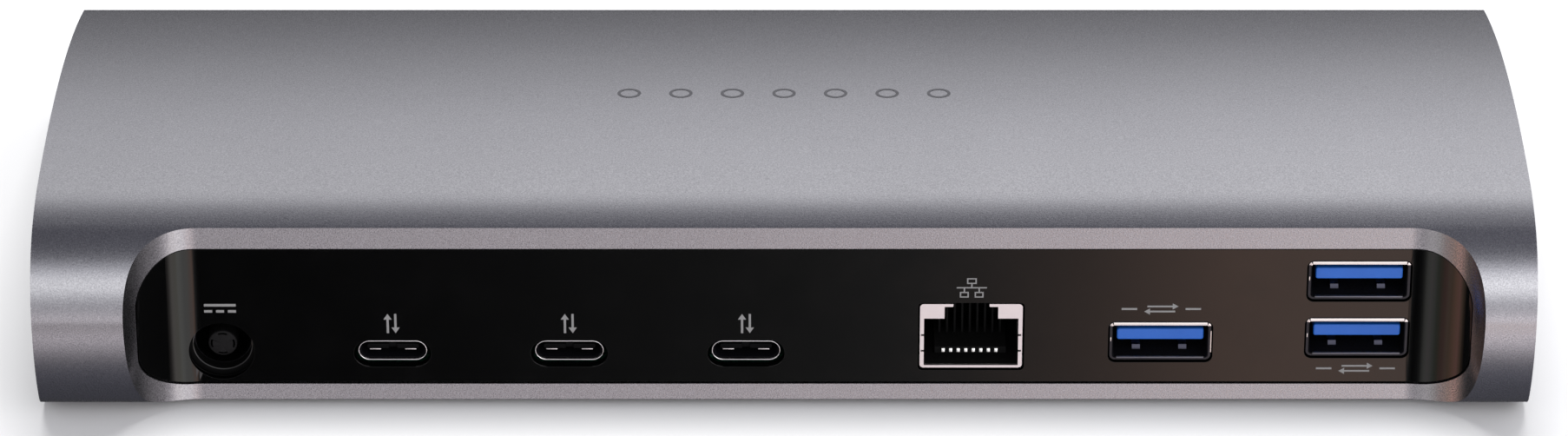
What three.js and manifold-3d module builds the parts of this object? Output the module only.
// Laptop docking station: an arched aluminium shell over a board full of sockets.
// Millimetres, +Z up. The row of network, USB and power sockets faces -Y, and the power
// button side faces +Y. The origin is the centre of the footprint, at the feet's underside.
import * as THREE from "three";
import { mergeVertices } from "three/addons/utils/BufferGeometryUtils.js";
import Module from "manifold-3d";

const wasm = await Module();
wasm.setup();

// ---- driving dimensions -------------------------------------------------------------

const WIDTH = 192;
const DEPTH = 85.8;
const FOOT_PROUD = 1.0; // how far the feet hold the shell off the desk
const BASE = FOOT_PROUD; // height of the shell's bottom edge
const WALL = 2.4;
const ROOF = 2.2;
const CLEARANCE = 0.2; // between pieces that touch on the real object

// Side profile of the shell, heights above the shell's bottom edge. From the rear's bottom
// edge: bottom fillet, lower nose, nose, shoulder, roof, front edge and front bulge.
const REAR_BULGE = 7.3; // how far the nose stands behind the flat of the scoop
const REAR_PLANE = -DEPTH / 2 + REAR_BULGE;
const BOTTOM_FILLET = 6;
const LOWER_NOSE_RADIUS = 26;
const NOSE_RADIUS = 10.8;
const SHOULDER_RADIUS = 30;
const SHOULDER_ANGLE = (15.5 * Math.PI) / 180;
const TOP_RADIUS = 195;
const TOP_HEIGHT = 27.2;
const FRONT_EDGE_Y = REAR_PLANE + 75.9;
const FRONT_BULGE = 2.2;
const FRONT_PLANE = DEPTH / 2 - FRONT_BULGE;
const FRONT_EDGE_HEIGHT = 15;
const END_CHAMFER = 0.2;

// The highest line of the roof, and the nose's centre, follow from the arcs being tangent.
const SHOULDER_REACH = SHOULDER_RADIUS - NOSE_RADIUS;
const NOSE_Y = -DEPTH / 2 + NOSE_RADIUS;
const APEX_Y = NOSE_Y + SHOULDER_REACH * Math.sin(SHOULDER_ANGLE);
const SHOULDER_HEIGHT = TOP_HEIGHT - SHOULDER_RADIUS;
const NOSE_HEIGHT = SHOULDER_HEIGHT + SHOULDER_REACH * Math.cos(SHOULDER_ANGLE);

// The scoops: upright cuts with a flat middle and round ends, seen from above.
const REAR_SCOOP = { left: -84.6, right: 89.75, radius: 9.55 };
const FRONT_SCOOP = { left: -86, right: 86, radius: 9.2 };

// The black panels, let in flush with the scoops.
const PANEL_THICKNESS = 1.2;
const POCKET_DEPTH = 1.5;
const POCKET_GAP = 0.15; // round a panel's edge
const REAR_PANEL = { left: -82.85, right: 88.0, bottom: 2.8, top: 22.7, corner: 6.5 };
const REAR_WINDOW = { left: -77.4, right: 81.6, bottom: 4.2, top: 21.5, corner: 1 };
const FRONT_PANEL = { left: -80.6, right: 80.6, bottom: 2.8, top: 12.2, corner: 3.5 };
const FRONT_WINDOW = { left: -76, right: 76, bottom: 4.2, top: 11.2, corner: 1 };
const WINDOW_WALL = 2.6; // from the scoop's flat to the cavity

// Board and bottom plate, heights above the shell's bottom edge.
const PLATE_BOTTOM = 0.3;
const PLATE_TOP = 1.8;
const BOARD_BOTTOM = 3.0;
const BOARD_TOP = 4.6;
const BOARD_HALF_WIDTH = 84;
const BOARD_REAR = -31.9;
const BOARD_FRONT = 36.1;
const SHEET_CORNER = 1.5; // corner radius of the plate and the board
const BORE_GAP = 0.2; // between a screw and its hole, on the radius

const DC_BODY = { width: 9.6, height: 10.2, length: 14, recess: 1.7 };

// Sockets on the -Y side: x, and height above the shell's bottom edge.
const DC_PORT = { x: -72.5, height: 7.4 };
const USB_C_PORTS = [-50.5, -27.7, -4.9].map((x) => ({ x, height: 7.05 }));
const LAN_PORT = { x: 24.1, height: 9.6 };
const USB_A_SINGLE = { x: 48.5, height: 8.8 };
const USB_A_STACK = { x: 73.8, height: 9.42, pitch: 8.55 };

// Sockets and controls on the +Y side.
const BUTTON = { x: 73, height: 7.5 };
const LIGHT = { x: 64, height: 7.5 };
const AUDIO_PORT = { x: 50, height: 7.7 };
const CARD_PORT = { x: 22, height: 6.6 };
const FRONT_USB_A = { x: -14, height: 7.9 };
const FRONT_USB_C = { x: -70, height: 7.05 };
const BUTTON_TRAVEL = 0.5;

// ---- geometry helpers ---------------------------------------------------------------

const ARC_STEPS = 8; // steps along each arc of the shell's side profile
const ROOF_STEPS = 14;
const CORNER_STEPS = 3; // steps round a small corner
const CIRCLE_STEPS = 20; // steps round a full circle
const FINE_STEPS = 28; // steps round a circle that is seen
const HOLE_STEPS = 12; // steps round a small screw hole
const BEYOND = 60; // further than any cutter has to reach

function solid(geometry) {
  const plain = geometry.clone();
  plain.deleteAttribute("normal");
  plain.deleteAttribute("uv");
  const merged = mergeVertices(plain, 1e-4);
  const made = new wasm.Mesh({
    numProp: 3,
    vertProperties: merged.attributes.position.array,
    triVerts: new Uint32Array(merged.index.array),
  });
  return new wasm.Manifold(made);
}

function geometryOf(body) {
  const made = body.getMesh();
  const geometry = new THREE.BufferGeometry();
  geometry.setAttribute("position", new THREE.BufferAttribute(made.vertProperties, 3));
  geometry.setIndex(new THREE.BufferAttribute(made.triVerts, 1));
  return geometry;
}

function extrude(shape, depth, options = {}) {
  const settings = { depth, bevelEnabled: false, curveSegments: CORNER_STEPS, ...options };
  return new THREE.ExtrudeGeometry(shape, settings);
}

// Prisms along each axis. The outline's two coordinates are the other two axes, in order.
function alongX(shape, from, to, options) {
  const upright = extrude(shape, to - from, options).rotateX(Math.PI / 2).rotateZ(Math.PI / 2);
  return solid(upright.translate(from, 0, 0));
}

function alongY(shape, from, to, options) {
  return solid(extrude(shape, to - from, options).rotateX(Math.PI / 2).translate(0, to, 0));
}

function alongZ(shape, from, to, options) {
  return solid(extrude(shape, to - from, options).translate(0, 0, from));
}

function block(x0, x1, y0, y1, z0, z1) {
  const geometry = new THREE.BoxGeometry(x1 - x0, y1 - y0, z1 - z0);
  return solid(geometry.translate((x0 + x1) / 2, (y0 + y1) / 2, (z0 + z1) / 2));
}

function rounded(left, right, bottom, top, radius) {
  const shape = new THREE.Shape();
  shape.moveTo(left + radius, bottom);
  shape.lineTo(right - radius, bottom);
  shape.absarc(right - radius, bottom + radius, radius, -Math.PI / 2, 0);
  shape.lineTo(right, top - radius);
  shape.absarc(right - radius, top - radius, radius, 0, Math.PI / 2);
  shape.lineTo(left + radius, top);
  shape.absarc(left + radius, top - radius, radius, Math.PI / 2, Math.PI);
  shape.lineTo(left, bottom + radius);
  shape.absarc(left + radius, bottom + radius, radius, Math.PI, Math.PI * 1.5);
  return shape;
}

function centred(width, height, radius, x = 0, z = 0) {
  return rounded(x - width / 2, x + width / 2, z - height / 2, z + height / 2, radius);
}

function disc(radius, x = 0, z = 0) {
  const shape = new THREE.Shape();
  shape.absarc(x, z, radius, 0, Math.PI * 2);
  return shape;
}

function polygon(points) {
  return new THREE.Shape(points.map(([a, b]) => new THREE.Vector2(a, b)));
}

// A body turned about the Y axis; the profile holds [radius, height].
function turned(profile, steps = CIRCLE_STEPS) {
  const line = profile.map(([radius, height]) => new THREE.Vector2(radius, height));
  return solid(new THREE.LatheGeometry(line, steps));
}

// Points along an arc in the Y-Z plane; the tilt runs from straight up towards -Y.
function tiltedArc(y, z, radius, from, to, steps = ARC_STEPS) {
  const points = [];
  for (let i = 0; i <= steps; i++) {
    const tilt = from + ((to - from) * i) / steps;
    points.push([y - radius * Math.sin(tilt), z + radius * Math.cos(tilt)]);
  }
  return points;
}

function cylinderZ(radius, from, to, x = 0, y = 0, steps = CIRCLE_STEPS) {
  const geometry = new THREE.CylinderGeometry(radius, radius, to - from, steps);
  return solid(geometry.rotateX(Math.PI / 2).translate(x, y, (from + to) / 2));
}

function cylinderY(radius, from, to, x = 0, z = 0, steps = CIRCLE_STEPS) {
  const geometry = new THREE.CylinderGeometry(radius, radius, to - from, steps);
  return solid(geometry.translate(x, (from + to) / 2, z));
}

function joined(bodies) {
  return bodies.reduce((sum, body) => sum.add(body));
}

// ---- materials ----------------------------------------------------------------------

const FINISHES = {
  aluminium: { color: 0x8f8d93, roughness: 0.42, metalness: 0.9 },
  gloss: { color: 0x0c0c0d, roughness: 0.08, metalness: 0.0 },
  steel: { color: 0xc9c6c6, roughness: 0.22, metalness: 1.0 },
  blackened: { color: 0x3a393c, roughness: 0.4, metalness: 0.9 },
  plastic: { color: 0x141416, roughness: 0.5, metalness: 0.0 },
  blue: { color: 0x2f6fd6, roughness: 0.4, metalness: 0.0 },
  gold: { color: 0xd8b25c, roughness: 0.25, metalness: 1.0 },
  rubber: { color: 0x1b1b1c, roughness: 0.85, metalness: 0.0 },
  board: { color: 0x10402c, roughness: 0.45, metalness: 0.0 },
  chip: { color: 0x1d1d20, roughness: 0.6, metalness: 0.0 },
  pad: { color: 0x9fb4c4, roughness: 0.9, metalness: 0.0 },
  clear: { color: 0xe9eef2, roughness: 0.2, metalness: 0.0 },
};

function piece(name, body, finish) {
  const mesh = new THREE.Mesh(geometryOf(body), new THREE.MeshStandardMaterial(FINISHES[finish]));
  mesh.name = name;
  return mesh;
}

// ---- shell --------------------------------------------------------------------------

// Height of the roof at a depth y, for the outer face or a face inset from it.
function roofHeight(y, inset = 0) {
  const centre = BASE + TOP_HEIGHT - TOP_RADIUS;
  return centre + Math.sqrt((TOP_RADIUS - inset) ** 2 - (y - APEX_Y) ** 2);
}

function outerProfile() {
  const upright = Math.PI / 2;
  const noseZ = BASE + NOSE_HEIGHT;
  const lowerY = -DEPTH / 2 + LOWER_NOSE_RADIUS;
  const filletRise = NOSE_HEIGHT - BOTTOM_FILLET;
  const filletReach = LOWER_NOSE_RADIUS - BOTTOM_FILLET;
  const filletAngle = Math.asin(filletRise / filletReach);
  const filletY = lowerY - filletReach * Math.cos(filletAngle);
  const filletTilt = upright + filletAngle;
  const points = [
    ...tiltedArc(filletY, BASE + BOTTOM_FILLET, BOTTOM_FILLET, Math.PI, filletTilt, ARC_STEPS / 2),
    ...tiltedArc(lowerY, noseZ, LOWER_NOSE_RADIUS, filletTilt, upright),
    ...tiltedArc(NOSE_Y, noseZ, NOSE_RADIUS, upright, SHOULDER_ANGLE),
    ...tiltedArc(APEX_Y, BASE + SHOULDER_HEIGHT, SHOULDER_RADIUS, SHOULDER_ANGLE, 0, ARC_STEPS / 2),
  ];
  for (let i = 1; i <= ROOF_STEPS; i++) {
    const y = APEX_Y + ((FRONT_EDGE_Y - APEX_Y) * i) / ROOF_STEPS;
    points.push([y, roofHeight(y)]);
  }
  // The front bulge is one arc over its whole height.
  const half = FRONT_EDGE_HEIGHT / 2;
  const bulgeRadius = (half ** 2 + FRONT_BULGE ** 2) / (2 * FRONT_BULGE);
  const reach = Math.asin(half / bulgeRadius);
  const bulgeY = DEPTH / 2 - bulgeRadius;
  points.push(...tiltedArc(bulgeY, BASE + half, bulgeRadius, reach - upright, -reach - upright));
  const distinct = points.filter(([y, z], i) => {
    const [nextY, nextZ] = points[(i + 1) % points.length];
    return Math.hypot(nextY - y, nextZ - z) > 1e-6;
  });
  return polygon(distinct.reverse());
}

function cavityProfile() {
  const rear = REAR_PLANE + WINDOW_WALL;
  const front = FRONT_PLANE - WINDOW_WALL;
  const steps = 8;
  const points = [
    [rear, BASE - 1],
    [front, BASE - 1],
  ];
  for (let i = 0; i <= steps; i++) {
    const y = front + ((rear - front) * i) / steps;
    points.push([y, roofHeight(y, ROOF)]);
  }
  return polygon(points);
}

// The upright cutter of a scoop, grown outwards by `offset`. `side` is -1 for rear, 1 for front.
function scoopCutter(scoop, side, offset) {
  const flat = side < 0 ? REAR_PLANE : FRONT_PLANE;
  const radius = scoop.radius + offset;
  const outside = flat + side * BEYOND;
  const near = flat - side * offset;
  const outline = rounded(
    scoop.left - offset,
    scoop.right + offset,
    Math.min(near, outside),
    Math.max(near, outside),
    radius,
  );
  return alongZ(outline, -BEYOND, BEYOND, { curveSegments: ARC_STEPS });
}

function opening(area, grow, y0, y1) {
  const outline = rounded(
    area.left - grow,
    area.right + grow,
    BASE + area.bottom - grow,
    BASE + area.top + grow,
    area.corner + grow,
  );
  return alongY(outline, y0, y1, { curveSegments: 5 });
}

const CASE_SCREW = { x: 88.5, rear: -27, front: 31, length: 6.5, shank: 1.25, head: 2.3, headHeight: 0.75 };
const CASE_SCREW_SPOTS = [
  ["rear_left", -CASE_SCREW.x, CASE_SCREW.rear],
  ["rear_right", CASE_SCREW.x, CASE_SCREW.rear],
  ["front_left", -CASE_SCREW.x, CASE_SCREW.front],
  ["front_right", CASE_SCREW.x, CASE_SCREW.front],
];
const BOSS_RADIUS = 3.2;
const BOSS_HOLE_DEPTH = 8;
const JACK_WELL_GAP = 0.35; // round the power jack, where it stands in the rear wall

// How far a cutter runs along Y for one side of the dock, clear of the other side.
function sideSpan(side) {
  return side < 0 ? [-BEYOND, -20] : [20, BEYOND];
}

function housingShell() {
  const bevel = {
    bevelEnabled: true,
    bevelThickness: END_CHAMFER,
    bevelSize: END_CHAMFER,
    bevelOffset: -END_CHAMFER,
    bevelSegments: 1,
  };
  const half = WIDTH / 2;
  let shell = alongX(outerProfile(), -half + END_CHAMFER, half - END_CHAMFER, bevel);
  shell = shell.subtract(alongX(cavityProfile(), -half + WALL, half - WALL));
  const seat = BASE + PLATE_TOP + CLEARANCE;
  const hole = CASE_SCREW.shank + BORE_GAP;
  for (const [, x, y] of CASE_SCREW_SPOTS) {
    shell = shell.add(cylinderZ(BOSS_RADIUS, seat, roofHeight(y, ROOF / 2), x, y));
    shell = shell.subtract(cylinderZ(hole, seat - 1, seat + BOSS_HOLE_DEPTH, x, y, HOLE_STEPS));
  }
  const sides = [
    [REAR_SCOOP, REAR_PANEL, REAR_WINDOW, -1],
    [FRONT_SCOOP, FRONT_PANEL, FRONT_WINDOW, 1],
  ];
  for (const [scoop, panel, window, side] of sides) {
    shell = shell.subtract(scoopCutter(scoop, side, 0));
    const pocket = scoopCutter(scoop, side, POCKET_DEPTH);
    shell = shell.subtract(pocket.intersect(opening(panel, POCKET_GAP, ...sideSpan(side))));
    const flat = side < 0 ? REAR_PLANE : FRONT_PLANE;
    const through = [flat, flat - side * (WINDOW_WALL + 1)].sort((a, b) => a - b);
    shell = shell.subtract(opening(window, 0, ...through));
  }
  const wellWidth = DC_BODY.width / 2 + JACK_WELL_GAP;
  const wellHeight = DC_BODY.height / 2 + JACK_WELL_GAP;
  const jackWell = block(
    DC_PORT.x - wellWidth,
    DC_PORT.x + wellWidth,
    REAR_PLANE + POCKET_DEPTH,
    REAR_PLANE + WINDOW_WALL + 1,
    BASE + DC_PORT.height - wellHeight,
    BASE + DC_PORT.height + wellHeight,
  );
  const wellRadius = BUTTON_PARTS.flange + 0.5;
  const wellEnd = FRONT_PLANE - WINDOW_WALL - 1;
  const buttonWell = cylinderY(wellRadius, wellEnd, FRONT_PLANE, BUTTON.x, BASE + BUTTON.height);
  shell = shell.subtract(jackWell).subtract(buttonWell);
  return piece("housing_shell", shell, "aluminium");
}

// ---- panels -------------------------------------------------------------------------

function panelBlank(scoop, area, side) {
  const band = scoopCutter(scoop, side, PANEL_THICKNESS).subtract(scoopCutter(scoop, side, 0));
  return band.intersect(opening(area, 0, ...sideSpan(side)));
}

// Socket mouths: hole outlines in a panel, about x and height.
const USB_A_HOLE = [13.5, 6.2, 1.0];
const USB_C_HOLE = [9.95, 4.1, 2.0];
const LAN_HOLE = [13.7, 10.2, 0.6];
const DC_HOLE_RADIUS = 4.25;
const AUDIO_HOLE_RADIUS = 3.2;
const CARD_HOLE = [25.0, 2.8, 0.6];
const LIGHT_HOLE_RADIUS = 1.0;
const BUTTON_PARTS = { cap: 3.2, edge: 0.4, hole: 3.4, flange: 3.8, stem: 1.6 };

function pierce(panel, flat, holes) {
  const reach = PANEL_THICKNESS + 2;
  const cutters = holes.map(({ shape, steps }) =>
    alongY(shape, flat - reach, flat + reach, { curveSegments: steps }),
  );
  return panel.subtract(joined(cutters));
}

function slotHole([width, height, radius], x, z) {
  return { shape: centred(width, height, radius, x, BASE + z), steps: radius > 1.5 ? 6 : 3 };
}

function roundHole(radius, x, z) {
  return { shape: disc(radius, x, BASE + z), steps: CIRCLE_STEPS };
}

function rearPanel() {
  const holes = [
    roundHole(DC_HOLE_RADIUS, DC_PORT.x, DC_PORT.height),
    ...USB_C_PORTS.map((port) => slotHole(USB_C_HOLE, port.x, port.height)),
    slotHole(LAN_HOLE, LAN_PORT.x, LAN_PORT.height),
    slotHole(USB_A_HOLE, USB_A_SINGLE.x, USB_A_SINGLE.height),
    slotHole(USB_A_HOLE, USB_A_STACK.x, USB_A_STACK.height),
    slotHole(USB_A_HOLE, USB_A_STACK.x, USB_A_STACK.height + USB_A_STACK.pitch),
  ];
  const panel = pierce(panelBlank(REAR_SCOOP, REAR_PANEL, -1), REAR_PLANE, holes);
  return piece("rear_panel", panel, "gloss");
}

function frontPanel() {
  const holes = [
    roundHole(BUTTON_PARTS.hole, BUTTON.x, BUTTON.height),
    roundHole(LIGHT_HOLE_RADIUS, LIGHT.x, LIGHT.height),
    roundHole(AUDIO_HOLE_RADIUS, AUDIO_PORT.x, AUDIO_PORT.height),
    slotHole(CARD_HOLE, CARD_PORT.x, CARD_PORT.height),
    slotHole(USB_A_HOLE, FRONT_USB_A.x, FRONT_USB_A.height),
    slotHole(USB_C_HOLE, FRONT_USB_C.x, FRONT_USB_C.height),
  ];
  const panel = pierce(panelBlank(FRONT_SCOOP, FRONT_PANEL, 1), FRONT_PLANE, holes);
  return piece("front_panel", panel, "gloss");
}

// ---- underside ----------------------------------------------------------------------

const FOOT = { radius: 6.5, x: 80, rear: -22, front: 26, pocket: 0.5, bevel: 0.5 };
const FOOT_SPOTS = [
  ["rear_left", -FOOT.x, FOOT.rear],
  ["rear_right", FOOT.x, FOOT.rear],
  ["front_left", -FOOT.x, FOOT.front],
  ["front_right", FOOT.x, FOOT.front],
];
const BOARD_SCREW = { x: 79, hole: 1.1, shank: 0.95, length: 3.4, head: 2.0, headHeight: 1.0 };
const BOARD_SCREW_SPOTS = [
  ["rear_left", -BOARD_SCREW.x, -4],
  ["rear_right", BOARD_SCREW.x, -10],
  ["front_left", -BOARD_SCREW.x, 20],
  ["front_right", BOARD_SCREW.x, 20],
];
const STANDOFF_RADIUS = 2.4;
const COUNTERBORE_DEPTH = 0.9;
const PLATE_GAP = 0.3; // between the plate's edge and the shell's walls

function bottomPlate() {
  const half = WIDTH / 2 - WALL - PLATE_GAP;
  const rear = REAR_PLANE + WINDOW_WALL + PLATE_GAP;
  const front = FRONT_PLANE - WINDOW_WALL - PLATE_GAP;
  const outline = rounded(-half, half, rear, front, SHEET_CORNER);
  const underside = BASE + PLATE_BOTTOM;
  const top = BASE + PLATE_TOP;
  let plate = alongZ(outline, underside, top);
  const footHole = FOOT.radius + PLATE_GAP;
  for (const [, x, y] of FOOT_SPOTS) {
    plate = plate.subtract(cylinderZ(footHole, underside - 1, underside + FOOT.pocket, x, y));
  }
  const screwHole = CASE_SCREW.shank + BORE_GAP;
  const headHole = CASE_SCREW.head + PLATE_GAP;
  for (const [, x, y] of CASE_SCREW_SPOTS) {
    const recess = cylinderZ(headHole, underside - 1, underside + COUNTERBORE_DEPTH, x, y, 16);
    plate = plate.subtract(cylinderZ(screwHole, underside - 1, top + 1, x, y, HOLE_STEPS));
    plate = plate.subtract(recess);
  }
  const boardSeat = BASE + BOARD_BOTTOM - CLEARANCE;
  for (const [, x, y] of BOARD_SCREW_SPOTS) {
    const standoff = cylinderZ(STANDOFF_RADIUS, top - 0.5, boardSeat, x, y, HOLE_STEPS);
    const bore = cylinderZ(BOARD_SCREW.hole, top - 0.8, boardSeat + 1, x, y, HOLE_STEPS);
    plate = plate.add(standoff).subtract(bore);
  }
  return piece("bottom_plate", plate, "blackened");
}

function feet() {
  const top = FOOT_PROUD + PLATE_BOTTOM + FOOT.pocket - CLEARANCE;
  const profile = [
    [0, 0],
    [FOOT.radius - FOOT.bevel, 0],
    [FOOT.radius, FOOT.bevel],
    [FOOT.radius, top],
    [0, top],
  ];
  return FOOT_SPOTS.map(([spot, x, y]) => {
    const mesh = piece("foot_" + spot, turned(profile), "rubber");
    mesh.rotation.x = Math.PI / 2;
    mesh.position.set(x, y, 0);
    return mesh;
  });
}

// A pan-head screw standing on its head, its shank pointing up, with a cross slot.
function screwBody({ head, headHeight, shank, length }) {
  const profile = [
    [0, 0],
    [head * 0.8, 0],
    [head, headHeight * 0.4],
    [head, headHeight],
    [shank, headHeight],
    [shank, headHeight + length - shank],
    [0, headHeight + length],
  ].map(([radius, height]) => new THREE.Vector2(radius, height));
  const body = solid(new THREE.LatheGeometry(profile, HOLE_STEPS).rotateX(Math.PI / 2));
  const bar = head * 0.62;
  const slot = head * 0.16;
  const depth = headHeight * 0.5;
  const across = block(-bar, bar, -slot, slot, -1, depth);
  const along = block(-slot, slot, -bar, bar, -1, depth);
  return body.subtract(across).subtract(along);
}

function caseScrews() {
  return CASE_SCREW_SPOTS.map(([spot, x, y]) => {
    const mesh = piece("case_screw_" + spot, screwBody(CASE_SCREW), "blackened");
    mesh.position.set(x, y, BASE + PLATE_BOTTOM);
    return mesh;
  });
}

// ---- board --------------------------------------------------------------------------

function mainBoard() {
  const half = BOARD_HALF_WIDTH;
  const outline = rounded(-half, half, BOARD_REAR, BOARD_FRONT, SHEET_CORNER);
  const bottom = BASE + BOARD_BOTTOM;
  const top = BASE + BOARD_TOP;
  const notch = DC_BODY.width / 2 + 0.5;
  const notchEnd = REAR_PLANE + DC_BODY.recess + DC_BODY.length + 0.5;
  const jackNotch = [DC_PORT.x - notch, DC_PORT.x + notch, BOARD_REAR - 1, notchEnd];
  let board = alongZ(outline, bottom, top);
  board = board.subtract(block(...jackNotch, bottom - 1, top + 1));
  for (const [, x, y] of BOARD_SCREW_SPOTS) {
    board = board.subtract(cylinderZ(BOARD_SCREW.hole, bottom - 1, top + 1, x, y, HOLE_STEPS));
  }
  return piece("main_board", board, "board");
}

function boardScrews() {
  return BOARD_SCREW_SPOTS.map(([spot, x, y]) => {
    const mesh = piece("board_screw_" + spot, screwBody(BOARD_SCREW), "steel");
    mesh.rotation.x = Math.PI;
    mesh.position.set(x, y, BASE + BOARD_TOP + CLEARANCE + BOARD_SCREW.headHeight);
    return mesh;
  });
}

// Parts soldered on the board: name, x, y, width, depth, height, finish.
const CHIP_HEIGHT = 1.2;
const BOARD_BLOCKS = [
  ["controller_chip", -14, 4, 13, 13, CHIP_HEIGHT, "chip"],
  ["hub_chip", 44, 6, 9, 9, CHIP_HEIGHT, "chip"],
  ["network_transformer", 24.1, -8, 15, 8, 5.2, "plastic"],
  ["power_inductor_left", -58, -4, 10, 10, 4.5, "chip"],
  ["power_inductor_right", -44, -4, 10, 10, 4.5, "chip"],
];
const PAD_HEIGHT = 1.0;
const SPREADER = { left: -30, right: 56, rear: -3.4, front: 10.3, thickness: 1.5 };
const RIB = { count: 4, margin: 2, inset: 3, width: 1, height: 4 };
const CAN_RADIUS = 3.15;
const CAN_HEIGHT = 7.4;
const CAPACITORS = [
  ["capacitor_left", -62, 14],
  ["capacitor_middle", -53, 14],
  ["capacitor_right", -44, 14],
];

function heatSpreader(bottom) {
  const { left, right, rear, front, thickness } = SPREADER;
  const top = bottom + thickness;
  let spreader = alongZ(rounded(left, right, rear, front, 2), bottom, top);
  const step = (front - rear - 2 * RIB.margin) / (RIB.count - 1);
  for (let i = 0; i < RIB.count; i++) {
    const y0 = rear + RIB.margin + step * i - RIB.width / 2;
    const ends = [left + RIB.inset, right - RIB.inset, y0, y0 + RIB.width];
    spreader = spreader.add(block(...ends, top - 0.5, top + RIB.height));
  }
  return piece("heat_spreader", spreader, "aluminium");
}

// An upright can capacitor with a rolled groove low on its side.
function capacitor(name, x, y, floor) {
  const groove = CAN_RADIUS - 0.2;
  const profile = [
    [0, 0],
    [CAN_RADIUS, 0],
    [CAN_RADIUS, 0.8],
    [groove, 1.1],
    [CAN_RADIUS, 1.4],
    [CAN_RADIUS, CAN_HEIGHT],
    [0, CAN_HEIGHT],
  ];
  const mesh = piece(name, turned(profile, 16), "steel");
  mesh.rotation.x = Math.PI / 2;
  mesh.position.set(x, y, floor);
  return mesh;
}

function boardParts() {
  const floor = BASE + BOARD_TOP + CLEARANCE;
  const padBottom = floor + CHIP_HEIGHT + CLEARANCE;
  const padTop = padBottom + PAD_HEIGHT;
  const made = BOARD_BLOCKS.map(([name, x, y, width, depth, height, finish]) => {
    const body = alongZ(centred(width, depth, 0.6, x, y), floor, floor + height);
    return piece(name, body, finish);
  });
  for (const [name, x, y, width, depth] of BOARD_BLOCKS.filter(([name]) => name.endsWith("_chip"))) {
    const sides = [x - width / 2, x + width / 2, y - depth / 2, y + depth / 2];
    const pad = block(...sides, padBottom, padTop);
    made.push(piece("thermal_pad_" + name.replace("_chip", ""), pad, "pad"));
  }
  made.push(heatSpreader(padTop + CLEARANCE));
  made.push(...CAPACITORS.map(([name, x, y]) => capacitor(name, x, y, floor)));
  return made;
}

// ---- sockets, each built about the middle of its mouth, mouth at y = 0 facing -Y ------

// Group placing a socket on the -Y side, or turned round on the +Y side.
function placed(port, front, recess, meshes) {
  const y = front ? FRONT_PLANE - recess : REAR_PLANE + recess;
  const group = new THREE.Group();
  group.add(...meshes);
  group.position.set(port.x, y, BASE + port.height);
  group.rotation.z = front ? Math.PI : 0;
  return group;
}

// Height of the board's top face in a socket's own frame.
function boardLevel(port) {
  return BOARD_TOP + CLEARANCE - port.height;
}

const USB_C = { width: 8.94, height: 3.0, wall: 0.3, length: 8.6, recess: 0.75 };
const USB_C_TONGUE = { width: 6.7, thickness: 0.7, start: 0.9, end: 6, root: 5.6 };
const OVERLAP = 0.2; // how far two joined bodies run into each other

function usbC(name, port, front = false) {
  const { width, height, wall, length } = USB_C;
  const smooth = { curveSegments: 5 };
  const radius = height / 2 - 0.01;
  const outer = alongY(centred(width, height, radius), 0, length, smooth);
  const hollow = centred(width - 2 * wall, height - 2 * wall, radius - wall);
  const inner = alongY(hollow, -1, length - 1, smooth);
  const base = block(-4.2, 4.2, 4.3, length, boardLevel(port), -height / 2 + OVERLAP);
  const shell = outer.add(base).subtract(inner);
  const { width: reach, thickness, start, end, root } = USB_C_TONGUE;
  const holder = alongY(centred(7.4, 1.7, 0.6), root, length - 1 - CLEARANCE);
  const blade = alongY(centred(reach, thickness, 0.3), start, end);
  return placed(port, front, USB_C.recess, [
    piece(name + "_shell", shell, "steel"),
    piece(name + "_tongue", holder.add(blade), "plastic"),
  ]);
}

const USB_A = { width: 13.1, height: 5.8, wall: 0.35, length: 14, recess: 0.3, corner: 0.8 };
const USB_A_TONGUE = { width: 11.3, thickness: 1.7, raise: 0.72, start: 0.6, root: 9.5 };

function usbATube(z = 0) {
  const { width, height, length, corner } = USB_A;
  return alongY(centred(width, height, corner, 0, z), 0, length);
}

function usbAHollow(z = 0) {
  const { width, height, wall, length, corner } = USB_A;
  const outline = centred(width - 2 * wall, height - 2 * wall, corner - wall, 0, z);
  return alongY(outline, -1, length - 1);
}

// A block under a socket, standing on the board in place of its solder pins.
function usbABase(port) {
  return block(-6.2, 6.2, 4.5, USB_A.length, boardLevel(port), -USB_A.height / 2 + OVERLAP);
}

// The tongue hangs from the upper half of the hollow, on a block at its inner end.
function usbATongue(z = 0) {
  const { width, thickness, raise, start, root } = USB_A_TONGUE;
  const half = USB_A.height / 2 - USB_A.wall - OVERLAP;
  const holder = block(-6.0, 6.0, root, USB_A.length - 1 - CLEARANCE, z - half, z + half);
  const blade = alongY(centred(width, thickness, 0.3, 0, z + raise), start, root + 1);
  return holder.add(blade);
}

function usbA(name, port, front = false) {
  const shell = usbATube().add(usbABase(port)).subtract(usbAHollow());
  return placed(port, front, USB_A.recess, [
    piece(name + "_shell", shell, "steel"),
    piece(name + "_tongue", usbATongue(), "blue"),
  ]);
}

function usbAStack(name, port) {
  const { pitch } = port;
  const { width, height, length } = USB_A;
  const start = PANEL_THICKNESS + 0.3;
  const cage = block(-width / 2, width / 2, start, length, -height / 2, pitch + height / 2);
  const solidShell = joined([cage, usbABase(port), usbATube(), usbATube(pitch)]);
  const shell = solidShell.subtract(usbAHollow()).subtract(usbAHollow(pitch));
  return placed(port, false, USB_A.recess, [
    piece(name + "_shell", shell, "steel"),
    piece(name + "_tongue_lower", usbATongue(), "blue"),
    piece(name + "_tongue_upper", usbATongue(pitch), "blue"),
  ]);
}

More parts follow.
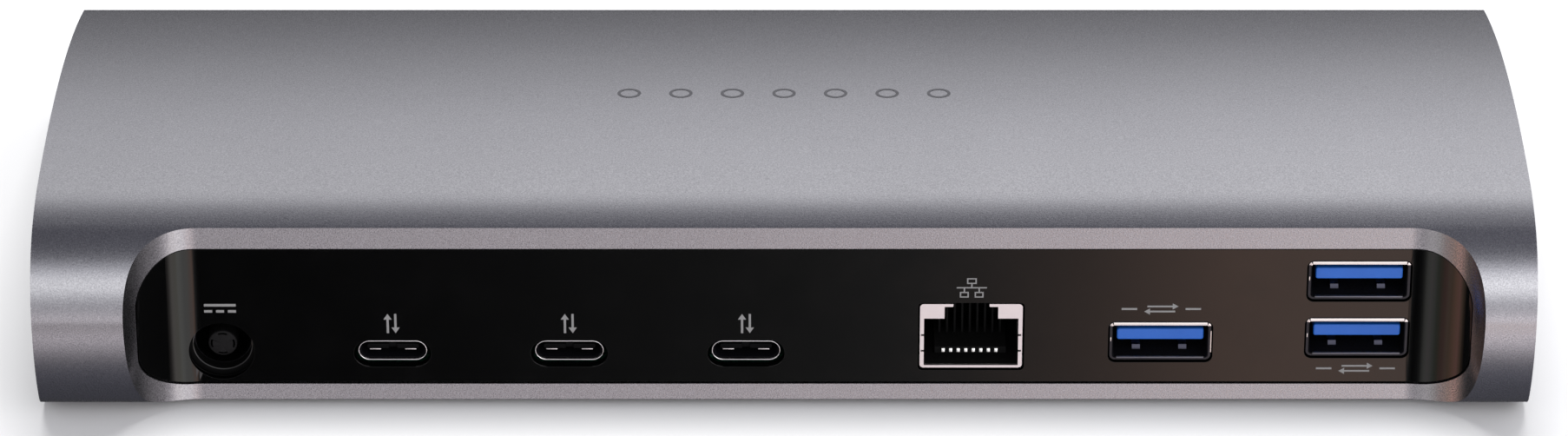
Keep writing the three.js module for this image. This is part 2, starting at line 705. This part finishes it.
// Network socket: a steel can round a black insert, latch notch uppermost.
const LAN = { width: 13.2, height: 9.6, length: 15.5, skin: 0.4, recess: 0.2 };
const LAN_MOUTH = { width: 12.15, floor: -4.45, ceiling: 2.62, step: 6.9, stepTop: 4.35, notch: 4.65 };
const LAN_DEPTH = 11.5;
const CONTACTS = { count: 8, pitch: 0.98, width: 0.45 };

function lanMouth(grow, top) {
  const { width, floor, ceiling, step, stepTop, notch } = LAN_MOUTH;
  const right = [
    [width / 2 + grow, floor - grow],
    [width / 2 + grow, ceiling + grow],
    [step / 2 + grow, ceiling + grow],
    [step / 2 + grow, stepTop + grow],
    [notch / 2 + grow, stepTop + grow],
    [notch / 2 + grow, top],
  ];
  const left = right.map(([x, z]) => [-x, z]).reverse();
  return polygon([...right, ...left]);
}

function lanContacts() {
  const { count, pitch, width } = CONTACTS;
  const floor = LAN_MOUTH.floor;
  const side = [
    [3.0, 0.35],
    [10.4, 1.3],
    [10.4, 1.7],
    [3.3, 1.2],
    [2.8, 0.9],
  ].map(([depth, height]) => [depth, floor + height]);
  const wires = [];
  for (let i = 0; i < count; i++) {
    const x = (i - (count - 1) / 2) * pitch;
    wires.push(alongX(polygon(side), x - width / 2, x + width / 2));
  }
  const span = (count * pitch) / 2;
  return joined([...wires, block(-span, span, 10.2, 10.9, floor + 0.7, floor + 1.9)]);
}

function lanSocket(name, port) {
  const { width, height, length, skin } = LAN;
  const half = width / 2;
  const top = height / 2;
  const can = alongY(centred(width, height, 0.5), 0, length);
  const inside = block(-half + skin, half - skin, skin, length - skin, -height, top - skin);
  const front = alongY(lanMouth(0, top + 1), -1, skin + 1);
  const gap = skin + POCKET_GAP;
  const bottom = Math.max(boardLevel(port), -top);
  const insert = block(-half + gap, half - gap, gap, length - gap, bottom, top - gap);
  const mouth = alongY(lanMouth(0.05, top + 1), -1, LAN_DEPTH);
  return placed(port, false, LAN.recess, [
    piece(name + "_shield", can.subtract(inside).subtract(front), "steel"),
    piece(name + "_insert", insert.subtract(mouth), "plastic"),
    piece(name + "_contacts", lanContacts(), "gold"),
  ]);
}

// Barrel power jack with a slotted centre post.
const DC_BORE = { radius: 3.75, depth: 10 };
const DC_POST_RADIUS = 1.9;

function dcJack(name, port) {
  const { width, height, length } = DC_BODY;
  const body = alongY(centred(width, height, 1.0), 0, length);
  const housing = body.subtract(cylinderY(DC_BORE.radius, -1, DC_BORE.depth, 0, 0, 32));
  const end = DC_BORE.depth - CLEARANCE;
  const profile = [
    [0, 0.2],
    [DC_POST_RADIUS - 0.3, 0.2],
    [DC_POST_RADIUS, 0.5],
    [DC_POST_RADIUS, end],
    [0, end],
  ];
  return placed(port, false, DC_BODY.recess, [
    piece(name + "_housing", housing, "plastic"),
    piece(name + "_post", turned(profile, FINE_STEPS), "blackened"),
  ]);
}

const AUDIO = { half: 3.4, top: 2.9, start: 2.6, length: 13, nozzle: 2.95, bore: 1.8, recess: 0.3 };

function audioJack(name, port) {
  const { half, top, start, length, nozzle, bore } = AUDIO;
  const body = block(-half, half, start, length, boardLevel(port), top);
  const mouth = cylinderY(nozzle, 0, start + OVERLAP, 0, 0, FINE_STEPS);
  const jack = body.add(mouth).subtract(cylinderY(bore, -1, length - 1.5));
  return placed(port, true, AUDIO.recess, [piece(name, jack, "plastic")]);
}

const CARD = { width: 26.4, height: 3.3, length: 27, wall: 0.4, recess: 1.5 };
const CARD_FINGERS = { count: 9, pitch: 2.3, width: 0.8, start: 17, root: 21, half: 11 };

function cardContacts() {
  const { height, length, wall } = CARD;
  const { count, pitch, width, start, root, half } = CARD_FINGERS;
  const floor = -height / 2 + wall + 0.1;
  const fingers = [block(-half, half, root, length - wall - CLEARANCE, floor, -floor)];
  for (let i = 0; i < count; i++) {
    const x = (i - (count - 1) / 2) * pitch;
    const sides = [x - width / 2, x + width / 2, start, root + OVERLAP];
    fingers.push(block(...sides, floor + 0.1, floor + 0.45));
  }
  return joined(fingers);
}

function cardSlot(name, port) {
  const { width, height, length, wall } = CARD;
  const half = width / 2;
  const top = height / 2;
  const cage = block(-half, half, 0, length, -top, top);
  const hollow = block(-half + wall, half - wall, -1, length - wall, -top + wall, top - wall);
  const base = block(-half + 1, half - 1, 6, length - 1, boardLevel(port), -top + wall / 2);
  return placed(port, true, CARD.recess, [
    piece(name + "_cage", cage.add(base).subtract(hollow), "steel"),
    piece(name + "_contacts", cardContacts(), "gold"),
  ]);
}

// ---- power button -------------------------------------------------------------------

const SWITCH = { half: 3, top: 2.8, length: 4.4, well: 1.6 };
const PLUNGER = { radius: 1.3, gap: 0.1, length: 3.4, inside: 2.2 };

// The cap stands proud by its travel; its flange stops behind the panel.
function powerButton() {
  const { cap, flange, stem, edge } = BUTTON_PARTS;
  const behind = PANEL_THICKNESS + CLEARANCE;
  const flangeEnd = behind + 0.9;
  const stemEnd = flangeEnd + 0.9;
  const profile = [
    [0, -BUTTON_TRAVEL],
    [cap - edge, -BUTTON_TRAVEL],
    [cap, -BUTTON_TRAVEL + edge],
    [cap, behind],
    [flange, behind],
    [flange, flangeEnd],
    [stem, flangeEnd],
    [stem, stemEnd],
    [0, stemEnd],
  ];
  const tip = stemEnd + PLUNGER.gap;
  const plungerEnd = tip + PLUNGER.length;
  const face = plungerEnd - PLUNGER.inside;
  const { half, top, length, well } = SWITCH;
  const body = block(-half, half, face, face + length, boardLevel(BUTTON), top);
  const bore = cylinderY(well, face - 1, plungerEnd + BUTTON_TRAVEL + 2 * CLEARANCE);
  return placed(BUTTON, true, 0, [
    piece("power_button_cap", turned(profile), "gloss"),
    piece("power_button_plunger", cylinderY(PLUNGER.radius, tip, plungerEnd), "plastic"),
    piece("power_switch", body.subtract(bore), "blackened"),
  ]);
}

const PIPE = { radius: 0.8, start: 0.1, neck: 3.4, end: 5.2, block: 1.2 };
const LED = { half: 0.8, start: 5.4, end: 6.8 };

function statusLight() {
  const { radius, start, neck, end, block: half } = PIPE;
  const rod = cylinderY(radius, start, neck + 1, 0, 0, 16);
  const pipe = rod.add(block(-1, 1, neck, end, -half, half));
  const led = block(-LED.half, LED.half, LED.start, LED.end, boardLevel(LIGHT), LED.half);
  return placed(LIGHT, true, 0, [
    piece("light_pipe", pipe, "clear"),
    piece("status_led", led, "clear"),
  ]);
}

// ---- assembly -----------------------------------------------------------------------

const dock = new THREE.Group();
dock.add(housingShell(), rearPanel(), frontPanel(), bottomPlate(), mainBoard());
dock.add(...feet(), ...caseScrews(), ...boardScrews(), ...boardParts());
dock.add(dcJack("dc_jack", DC_PORT));
USB_C_PORTS.forEach((port, i) => dock.add(usbC("usb_c_" + (i + 1), port)));
dock.add(lanSocket("network_socket", LAN_PORT));
dock.add(usbA("usb_a_single", USB_A_SINGLE));
dock.add(usbAStack("usb_a_stack", USB_A_STACK));
dock.add(usbC("host_usb_c", FRONT_USB_C, true));
dock.add(usbA("front_usb_a", FRONT_USB_A, true));
dock.add(cardSlot("card_slot", CARD_PORT));
dock.add(audioJack("audio_jack", AUDIO_PORT));
dock.add(powerButton(), statusLight());

export default dock;
